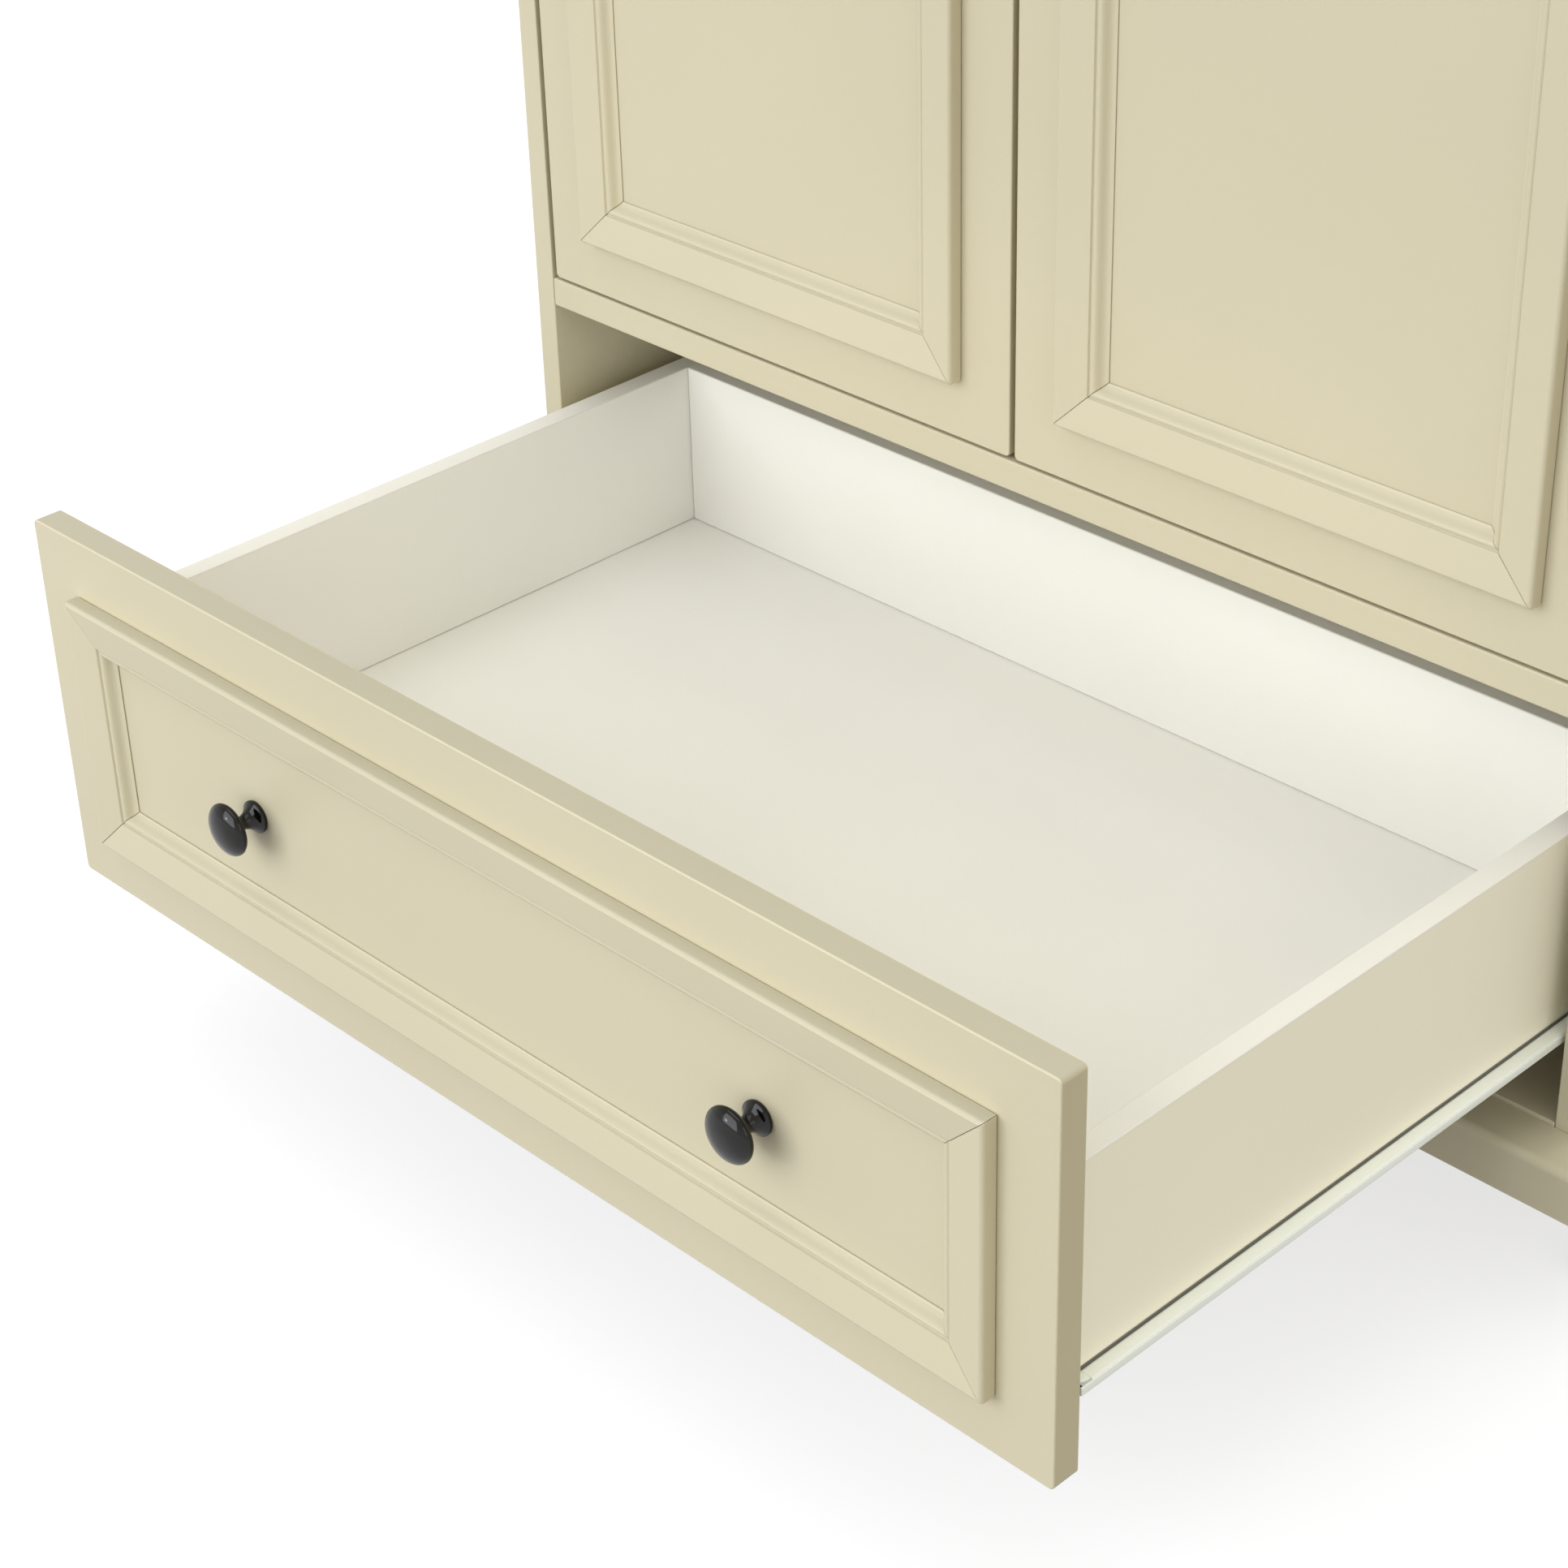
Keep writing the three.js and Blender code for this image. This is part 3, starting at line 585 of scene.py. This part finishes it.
def screw_head(place, axis, radius=3.6 * MM, height=1.1 * MM):
    """A pan head with a cross on it, standing on the place and facing along the axis."""
    axis = Vector(axis)
    rim, dome = height * 0.35, radius * 0.45
    profile = [(0, 0), (radius, 0), (radius, rim)] + arc((radius - dome, rim), dome, 0, 80, 5)[1:]
    scale = height / profile[-1][1]
    profile = [(r, h * scale) for r, h in profile] + [(0, height)]
    parts = [turned(profile, place, axis, 24)]
    side = axis.orthogonal().normalized()
    other = axis.cross(side)
    half_length, half_width = 2.0 * MM, 0.35 * MM
    bar = [(-half_length, -half_width), (half_length, -half_width),
           (half_length, half_width), (-half_length, half_width)]
    foot = Vector(place) + axis * (height - 0.02 * MM)
    for first, second in ((side, other), (other, side)):
        parts.append(prism(bar, foot, first, second, axis * 0.04 * MM))
    return join_meshes(parts)


# ---------------------------------------------------------------- sections

def panel_moulding_section():
    """Applied moulding, from its outer foot to its inner lip: a flat side, a round shoulder, a long
    face that falls inward, a small step, a narrow bead, and a hollow down to a thin inner edge. The
    heights are above the front that it stands on, which it clears a little."""
    width = 33 * MM
    ridge = 10.5 * MM
    shoulder = 2.6 * MM
    points = [(0.5 * MM, CLEARANCE), (0, 1.1 * MM), (0, ridge - shoulder)]
    points += arc((shoulder, ridge - shoulder), shoulder, 180, 96, 8)[1:]
    points += scaled([(22.8, 7.8), (23.2, 7.55), (23.45, 6.8), (23.7, 6.35), (24.1, 6.3), (24.5, 6.6),
                      (25.1, 6.95), (26.0, 7.0), (26.9, 6.7), (27.7, 6.0), (28.4, 4.9), (29.0, 3.7),
                      (29.7, 2.6), (30.6, 1.75), (31.6, 1.25), (33.0, 0.8)])
    return points + [(width, CLEARANCE)]


def base_moulding_section():
    """A plain board with a rounded nose along its top front edge."""
    reach, height, nose = 31 * MM, 32.5 * MM, 5.0 * MM
    corner = 0.8 * MM
    points = [(CLEARANCE, 0), (reach - corner, 0), (reach, corner)]
    points += arc((reach - nose, height - nose), nose, 0, 90, 8)
    return points + [(CLEARANCE, height)]


def cornice_section():
    """A fillet, a cove and a square cap."""
    height, reach = 50 * MM, 27 * MM
    rear = -16 * MM
    corner = 0.5 * MM
    points = [(rear, 0)] + scaled([(5.6, 0), (6, 0.4), (6, 7.6), (6.4, 8), (8, 8)])
    points += scaled(spline([(8.2, 8.6), (8.8, 16), (11.2, 25), (15.6, 33), (21, 38), (25, 39.8)], 4))
    points += [(26.6 * MM, 40 * MM), (reach, 40.4 * MM), (reach, height - corner)]
    return points + [(reach - corner, height), (rear, height)]


# ---------------------------------------------------------------- case

def make_case():
    """The case's boards and its back."""
    for node in ("left_side_panel", "right_side_panel", "bottom_panel", "top_panel"):
        node_board(node, 0.9 * MM)
    node_board("divider_panel", 1.3 * MM, 4)
    make_back()
    node_board("top_board", 2.2 * MM, 4)
    node_board("cornice_rear_rail", 0.8 * MM)
    node_board("shelf", 0.9 * MM)


def make_back():
    """A sheet fixed over the case's rear: a strip down its middle joint, and a row of small screws
    round its edge and along the shelf, the divider and the joint."""
    low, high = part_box("back_panel")
    face = high.y - 1.0 * MM
    strip_half = 15 * MM
    strip_rear = high.y - 0.3 * MM
    middle = (low.x + high.x) / 2
    sheet = board(low, (high.x, face, high.z), 0.4 * MM, 2)
    joint = board((middle - strip_half, face - 0.3 * MM, low.z + 1 * MM),
                  (middle + strip_half, strip_rear, high.z - 1 * MM), 0.3 * MM, 2)
    stand_for(join_meshes([sheet, joint]), "back_panel")

    inset = 9 * MM
    pair_half = 8 * MM
    rows = 12
    places = []
    for row in range(rows):
        z = low.z + inset + (high.z - low.z - 2 * inset) * row / (rows - 1)
        for x in (low.x + inset, high.x - inset, middle - pair_half, middle + pair_half):
            places.append((x, z))
    levels = [low.z + inset, high.z - inset]
    for node in ("shelf", "divider_panel"):
        board_low, board_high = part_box(node)
        levels.append((board_low.z + board_high.z) / 2)
    for z in levels:
        for share in (0.14, 0.26, 0.38, 0.62, 0.74, 0.86):
            places.append((low.x + (high.x - low.x) * share, z))

    head = scaled([(0, -0.2), (3.3, -0.2), (3.3, 0.2), (2.7, 0.45), (1.6, 0.62), (0, 0.66)])
    on_strip = high.y - 0.68 * MM
    heads = []
    for x, z in places:
        base = face if abs(x - middle) > strip_half else on_strip
        heads.append(turned(head, (x, base, z), Y, 20))
    piece_from(join_meshes(heads), "back_screws", "back_panel", material="bright_steel")


def make_wrap(prefix, section):
    """The three mitred strips of the base moulding or the cornice."""
    case_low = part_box("left_side_panel")[0]
    left = case_low.x
    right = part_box("right_side_panel")[1].x
    front = case_low.y
    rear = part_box(prefix + "_left")[1].y
    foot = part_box(prefix + "_front")[0].z
    width, depth = right - left, rear - front
    runs = {                         # start, along, across, length, mitre at the start, mitre at the end
        "front": (Vector((left, front, foot)), X, -Y, width, -1, -1),
        "left": (Vector((left, front, foot)), Y, -X, depth, -1, 0),
        "right": (Vector((right, front, foot)), Y, X, depth, -1, 0),
    }
    for word, (start, along, across, length, first, last) in runs.items():
        stand_for(strip(section, start, along, across, Z, length, first, last), f"{prefix}_{word}")


def make_feet():
    """Tapered round feet with a collar under the case."""
    profile = [(0, 0), (13.6, 0), (14.6, 0.4), (15.4, 1.6)]
    profile += spline([(15.6, 3), (17.2, 20), (19.4, 42), (20.8, 56), (21.2, 60)], 4)
    profile += [(21.6, 61.2), (22.8, 62.2)] + arc((21.2, 65.2), 2.8, -50, 50, 6)
    profile += [(22.6, 68.4), (23.2, 69), (23.7, 70), (24, 71.4), (24, 77), (23.4, 77.7), (0, 77.7)]
    for row in ("front", "rear"):
        for word in ("left", "right"):
            node = f"{row}_{word}_foot"
            low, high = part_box(node)
            middle = (low + high) / 2
            stand_for(turned(scaled(profile), (middle.x, middle.y, low.z), Z, 64), node, weighted=False)


# ---------------------------------------------------------------- fronts, their mouldings and knobs

def make_slab(node):
    """A door or drawer front: round corners, softened edges, and painted shade on its top and side edges."""
    low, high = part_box(node)
    outline = rounded_rectangle((low.x, low.z), (high.x, high.z), FRONT_CORNER, 8)
    piece = stand_for(ease(run(outline, low.y, high.y), FRONT_EASE), node)
    # painted light: the drawer front gets a lighter copy of the cream
    if node == "drawer_front":
        piece.data.materials[0] = MATERIALS["cream_painted_lit"]
    steep, flat = 0.7, 0.2
    # painted shade: faces that face up get a darker copy of the cream
    repaint(piece, "cream_painted_top_shade", lambda centre, normal: normal.z > steep and abs(normal.y) < flat)
    # painted shade: edges that face sideways get a darker, warmer copy of the cream
    repaint(piece, "cream_painted_side_shade", lambda centre, normal: abs(normal.x) > steep and abs(normal.y) < flat)


def make_panel_moulding(prefix):
    """Four mitred strips on a door or the drawer front, with painted shade on their faces that face or slope
    up.
    """
    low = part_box(f"{prefix}_left_moulding")[0]
    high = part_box(f"{prefix}_right_moulding")[1]
    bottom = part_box(f"{prefix}_bottom_moulding")[0].z
    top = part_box(f"{prefix}_top_moulding")[1].z
    back = high.y
    width, height = high.x - low.x, top - bottom
    section = [(s, t - CLEARANCE) for s, t in panel_moulding_section()]
    runs = {                         # start, along, across, length
        "bottom": (Vector((low.x, back, bottom)), X, Z, width),
        "right": (Vector((high.x, back, bottom)), Z, -X, height),
        "top": (Vector((high.x, back, top)), -X, -Z, width),
        "left": (Vector((low.x, back, top)), -Z, X, height),
    }
    slope, level = 0.42, 0.9
    for word, (start, along, across, length) in runs.items():
        bm = strip(section, start, along, across, -Y, length, 1, 1)
        piece = stand_for(bm, f"{prefix}_{word}_moulding")
        # painted light: the drawer's mouldings get a lighter copy of the cream
        if prefix == "drawer":
            piece.data.materials[0] = MATERIALS["cream_painted_lit"]
        # painted shade: moulding faces that slope up get a darker copy of the cream
        repaint(piece, "cream_painted_slope_shade", lambda centre, normal: slope < normal.z <= level)
        # painted shade: faces that face up get a darker copy of the cream
        repaint(piece, "cream_painted_top_shade", lambda centre, normal: normal.z > level)


def make_knob(node):
    """A mushroom knob: flared foot, waist and a domed head with a soft rim."""
    profile = [(0, 0), (9.3, 0), (9.8, 0.3), (10, 0.9), (10, 1.9)]
    profile += spline([(9.8, 2.4), (8.9, 3.2), (7.2, 4.6), (5.4, 6.8), (4.3, 9.6), (4.0, 12.2), (4.6, 14.4),
                       (7.4, 16.2), (11.0, 17.0), (13.8, 17.6)], 5)
    profile += spline([(15.2, 18.2), (15.9, 19.3), (16, 20.4), (15.5, 21.8), (14.2, 23.2), (12.0, 24.6),
                       (9.0, 25.8), (5.6, 26.6), (2.2, 26.94)], 5)
    profile += [(0, 27)]
    low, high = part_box(node)
    middle = (low + high) / 2
    bm = turned(scaled(profile), (middle.x, high.y, middle.z), -Y, 72)
    stand_for(bm, node, smooth_angle=40, weighted=False)


# ---------------------------------------------------------------- drawer box

def edge_top(piece):
    """The edging on the top edge of a drawer board."""
    top = max(vertex.co.z for vertex in piece.data.vertices) - 0.9 * MM
    repaint(piece, "drawer_edging", lambda centre, normal: centre.z > top)


def make_drawer_side(word, side):
    """A side board with the groove that holds the bottom board; its outer face gets a yellower copy of the
    lining as painted warm light.
    """
    node = f"drawer_{word}_side"
    floor_low, floor_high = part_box("drawer_bottom")
    low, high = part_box(node)
    inner = high.x if side < 0 else low.x
    outer = low.x if side < 0 else high.x
    groove = inner + side * (6.3 * MM)
    z0, z1 = floor_low.z - CLEARANCE, floor_high.z + CLEARANCE
    outline = [(inner, low.z), (outer, low.z), (outer, high.z), (inner, high.z),
               (inner, z1), (groove, z1), (groove, z0), (inner, z0)]
    piece = stand_for(ease(run(outline, low.y, high.y), 0.8 * MM), node)
    # painted warm light: the outer face gets a yellower copy of the lining
    repaint(piece, "drawer_outside_painted_warm_light", lambda centre, normal: normal.x * side > 0.9)
    edge_top(piece)


def make_drawer_box():
    """The drawer's sides, back and bottom board."""
    for word, side in SIDES:
        make_drawer_side(word, side)
    edge_top(node_board("drawer_back", 0.8 * MM))
    node_board("drawer_bottom", 0.3 * MM, 1)


# ---------------------------------------------------------------- slides and rollers

def make_case_slide(word, side):
    """A bent channel open towards the drawer, with its roller's axle and its fixing screws."""
    node = f"{word}_case_slide"
    low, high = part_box(node)
    wall = high.x if side > 0 else low.x
    inside = low.x if side > 0 else high.x
    face = wall - side * SLIDE_STEEL
    mid = SLIDE_STEEL / 2
    path = [(inside, high.z - mid), (wall - side * mid, high.z - mid),
            (wall - side * mid, low.z + mid), (inside, low.z + mid)]
    parts = [run(bent_sheet(path, SLIDE_STEEL, 1.8 * MM), low.y, high.y)]

    roller_low, roller_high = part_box(f"{word}_case_roller")
    axle = (roller_low + roller_high) / 2
    start = Vector((inside + side * 0.6 * MM, axle.y, axle.z))
    length = abs(face - start.x) / MM
    profile = [(0, 0), (2.2, 0), (2.8, 0.5), (2.95, 1.2), (2.95, length), (0, length)]
    parts.append(turned(scaled(profile), start, X * side, 32))

    for share in (0.18, 0.50, 0.86):
        place = (face, low.y + (high.y - low.y) * share, (low.z + high.z) / 2)
        parts.append(screw_head(place, -X * side))
    stand_for(join_meshes(parts), node, weighted=False)


def slide_tongue(left, right, front, nose, bottom):
    """The front end of a drawer slide's flange, rounded as seen from above."""
    middle, half = (left + right) / 2, (right - left) / 2
    outline = []
    for degrees in range(0, 181, 12):
        angle = math.radians(degrees)
        outline.append((middle + half * math.cos(angle), front + nose - nose * 0.86 * math.sin(angle)))
    return ease(prism(outline, (0, 0, bottom), X, Y, (0, 0, SLIDE_STEEL)), 0.3 * MM, 2)


def slide_stud(word, side, web, face):
    """The backing plate on a drawer slide's web, and the stud that its roller turns on."""
    low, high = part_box(f"{word}_drawer_roller")
    axle = (low + high) / 2
    deep, tall = 9 * MM, 7 * MM
    plate = board((min(web, face), axle.y - deep, axle.z - tall),
                  (max(web, face), axle.y + deep, axle.z + tall), 0.3 * MM, 2)
    tip = high.x if side > 0 else low.x
    length = abs(tip - face) / MM
    profile = [(0, 0), (2.95, 0), (2.95, length - 1.2), (2.8, length - 0.5), (2.2, length), (0, length)]
    return [plate, turned(scaled(profile), (face, axle.y, axle.z), X * side, 32)]


def make_drawer_slide(word, side):
    """A sheet under the box side and up its outside, and a flange with a rounded nose and a down-turned lip.
    Along the flange's root a dark grey band is painted shadow in the gap there, and a rubber stop fills the
    flange's front end."""
    node = f"{word}_drawer_slide"
    low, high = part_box(node)
    inner = low.x if side > 0 else high.x
    edge = high.x if side > 0 else low.x
    step = side * MM
    box_low, box_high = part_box(f"drawer_{word}_side")
    web = (box_high.x if side > 0 else box_low.x) + side * CLEARANCE
    face = web + side * SLIDE_STEEL
    under = box_low.z - CLEARANCE
    top = high.z - 1.2 * MM
    web_top = top - 0.9 * MM
    rim = web + 0.35 * step
    lip_inside = edge - side * SLIDE_STEEL
    lip_bottom = top - 6 * MM
    groove = edge - 0.5 * step
    slit = face + 0.1 * step
    root = face - 0.1 * step
    nose = 8 * MM

    web_corners = [
        (inner, under - SLIDE_STEEL, 0.1 * MM), (face, under - SLIDE_STEEL, 1.2 * MM),
        (face, web_top, 0.1 * MM), (web, web_top, 0.1 * MM), (web, under, 0.2 * MM), (inner, under, 0.1 * MM),
    ]
    rim_corners = [
        (web, web_top, 0.05 * MM), (rim, web_top, 0.05 * MM),
        (rim, high.z, 0.1 * MM), (web, high.z, 0.1 * MM),
    ]
    flange_corners = [
        (root, top - SLIDE_STEEL, 0.05 * MM), (lip_inside, top - SLIDE_STEEL, 0.4 * MM),
        (lip_inside, lip_bottom, 0.4 * MM), (edge, lip_bottom, 0.4 * MM),
        (edge, top - 1.2 * MM, 0.3 * MM), (groove, top - 1.25 * MM, 0.1 * MM),
        (groove, top - 0.6 * MM, 0.1 * MM), (edge - step, top, 0.5 * MM),
        (slit, top, 0.3 * MM), (slit, web_top, 0.05 * MM), (root, web_top, 0.05 * MM),
    ]
    lip_corners = [
        (lip_inside, lip_bottom, 0.4 * MM), (edge, lip_bottom, 0.4 * MM),
        (edge, top - 1.2 * MM, 0.3 * MM), (lip_inside, top - 1.2 * MM, 0.3 * MM),
    ]
    left, right = sorted((slit, groove - side * SLIDE_STEEL))
    parts = [
        run(rounded_outline(web_corners), low.y, high.y),
        run(rounded_outline(rim_corners), low.y, high.y),
        run(rounded_outline(flange_corners), low.y + nose, high.y),
        run(rounded_outline(lip_corners), low.y, low.y + nose),
        slide_tongue(left, right, low.y, nose, top - SLIDE_STEEL),
    ]
    piece = stand_for(join_meshes(parts + slide_stud(word, side, web, face)), node, weighted=False)
    # painted shadow: the faces in the gap at the flange's root get a dark grey
    gap_shadow_span = sorted((web - 0.05 * step, web + 0.45 * step))
    repaint(piece, "painted_gap_shadow", lambda centre, normal: gap_shadow_span[0] < centre.x < gap_shadow_span[1]
            and centre.z > top - 1.0 * MM)

    stop_left, stop_right = sorted((face + side * CLEARANCE, edge - 1.5 * step))
    stop = piece_from(board((stop_left, low.y + CLEARANCE, lip_bottom),
                            (stop_right, low.y + 2.6 * MM, top - 1.9 * MM), 0.5 * MM),
                      f"{word}_slide_stop", node, material="dark_rubber")


def make_roller(node):
    """A nylon wheel with a rounded tread, a dished face and a hub round its hole."""
    low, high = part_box(node)
    middle = (low + high) / 2
    width = high.x - low.x
    rim = (high.z - low.z) / 2
    hole = 3.2 * MM
    dish = 0.5 * MM
    tread = 0.9 * MM
    half = [(hole, 0), (hole + 2.2 * MM, 0), (hole + 2.5 * MM, dish), (rim - 2.6 * MM, dish),
            (rim - 2.2 * MM, 0), (rim - tread, 0)] + arc((rim - tread, tread), tread, -90, 0, 5)[1:]
    profile = half + [(r, width - h) for r, h in reversed(half)]
    bm = turned(profile, (low.x, middle.y, middle.z), X, 64)
    stand_for(bm, node, weighted=False)


# ---------------------------------------------------------------- rod, catch and pins

def make_rod():
    """A steel tube with chamfered ends."""
    low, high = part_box("hanging_rod")
    middle = (low + high) / 2
    length = high.x - low.x
    outer, wall = (high.z - low.z) / 2, 1.5 * MM
    chamfer = 0.3 * MM
    profile = [(outer - wall, 0), (outer - chamfer, 0), (outer, chamfer), (outer, length - chamfer),
               (outer - chamfer, length), (outer - wall, length)]
    stand_for(turned(profile, (low.x, middle.y, middle.z), X, 72), "hanging_rod", weighted=False)
    for word, side in SIDES:
        make_rod_socket(f"{word}_rod_socket", side, outer)


def make_rod_socket(node, side, rod_radius):
    """A turned cup on a round flange with two screws."""
    low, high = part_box(node)
    middle = (low + high) / 2
    wide = (high.z - low.z) / 2
    foot = high.x if side > 0 else low.x
    cup, bore = rod_radius + 2.5 * MM, rod_radius + CLEARANCE
    depth, flange = 12 * MM, 3 * MM
    shoulder, fillet, lip, chamfer = 1.4 * MM, 1.2 * MM, 0.6 * MM, 0.3 * MM
    profile = [(0, 0), (wide - 0.4 * MM, 0), (wide, 0.4 * MM), (wide, 1.6 * MM)]
    profile += arc((wide - shoulder, 1.6 * MM), shoulder, 0, 90, 5)[1:]
    profile += [(cup + fillet, flange)] + arc((cup + fillet, flange + fillet), fillet, 270, 180, 4)[1:]
    profile += [(cup, depth - lip), (cup - lip, depth), (bore + chamfer, depth),
                (bore, depth - chamfer), (bore, flange), (0, flange)]
    parts = [turned(profile, (foot, middle.y, middle.z), -X * side, 72)]
    for way in (-1, 1):
        place = (foot - side * flange, middle.y + way * 19.5 * MM, middle.z)
        parts.append(screw_head(place, -X * side, 3.2 * MM, 1.0 * MM))
    stand_for(join_meshes(parts), node, weighted=False)


def make_catch():
    """A plastic housing with two screw caps under it and four steel pole plates at its front."""
    low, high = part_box("magnetic_catch")
    parts = [board((low.x, low.y + 0.8 * MM, low.z), high, 1.2 * MM)]
    disc = scaled([(0, 0.02), (2.9, 0.02), (2.9, 0.06), (0, 0.06)])
    for way in (-1, 1):
        place = (way * 20 * MM, (low.y + high.y) / 2 + 3 * MM, low.z)
        parts.append(turned(disc, place, -Z, 24))
    stand_for(join_meshes(parts), "magnetic_catch", weighted=False)

    middle = (low.z + high.z) / 2
    thick, deep, half = 2 * MM, 2 * MM, 4.6 * MM
    plates = []
    for start in (-18.0, -10.5, 8.5, 16.0):
        plates.append(board((start * MM, low.y, middle - half),
                            (start * MM + thick, low.y + deep, middle + half), 0.25 * MM, 1))
    piece_from(join_meshes(plates), "catch_pole_plates", "magnetic_catch", material="bright_steel")
    for word in ("left", "right"):
        make_strike_plate(f"{word}_strike_plate")


def make_strike_plate(node):
    """A small steel plate with round corners and one screw."""
    low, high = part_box(node)
    middle = (low + high) / 2
    face = high.y - 0.3 * MM
    outline = rounded_rectangle((low.x, low.z), (high.x, high.z), 1.8 * MM)
    plate = ease(run(outline, low.y, face), 0.25 * MM, 2)
    head = turned(scaled([(0, 0), (2.6, 0), (2.2, 0.28), (0, 0.3)]), (middle.x, face, middle.z), Y, 24)
    stand_for(join_meshes([plate, head]), node, weighted=False)


def make_pin(node):
    """A steel pivot pin with chamfered ends."""
    low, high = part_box(node)
    middle = (low + high) / 2
    radius, length = (high.x - low.x) / 2, high.z - low.z
    chamfer = 0.6 * MM
    profile = [(0, 0), (radius - chamfer, 0), (radius, chamfer), (radius, length - chamfer),
               (radius - chamfer, length), (0, length)]
    stand_for(turned(profile, (middle.x, middle.y, low.z), Z, 48), node, weighted=False)


# ---------------------------------------------------------------- everything in place

make_camera()
make_floor()
make_surround()
make_lights()
make_case()
make_wrap("base_moulding", base_moulding_section())
make_wrap("cornice", cornice_section())
make_feet()
for front in ("left_door", "right_door", "drawer_front"):
    make_slab(front)
for prefix in ("left_door", "right_door", "drawer"):
    make_panel_moulding(prefix)
for knob in ("left_door_knob", "right_door_knob", "drawer_left_knob", "drawer_right_knob"):
    make_knob(knob)
make_drawer_box()
for word, side in SIDES:
    make_case_slide(word, side)
    make_drawer_slide(word, side)
    make_roller(f"{word}_case_roller")
    make_roller(f"{word}_drawer_roller")
make_rod()
make_catch()
for word in ("left", "right"):
    for place in ("lower", "upper"):
        make_pin(f"{word}_door_{place}_pin")
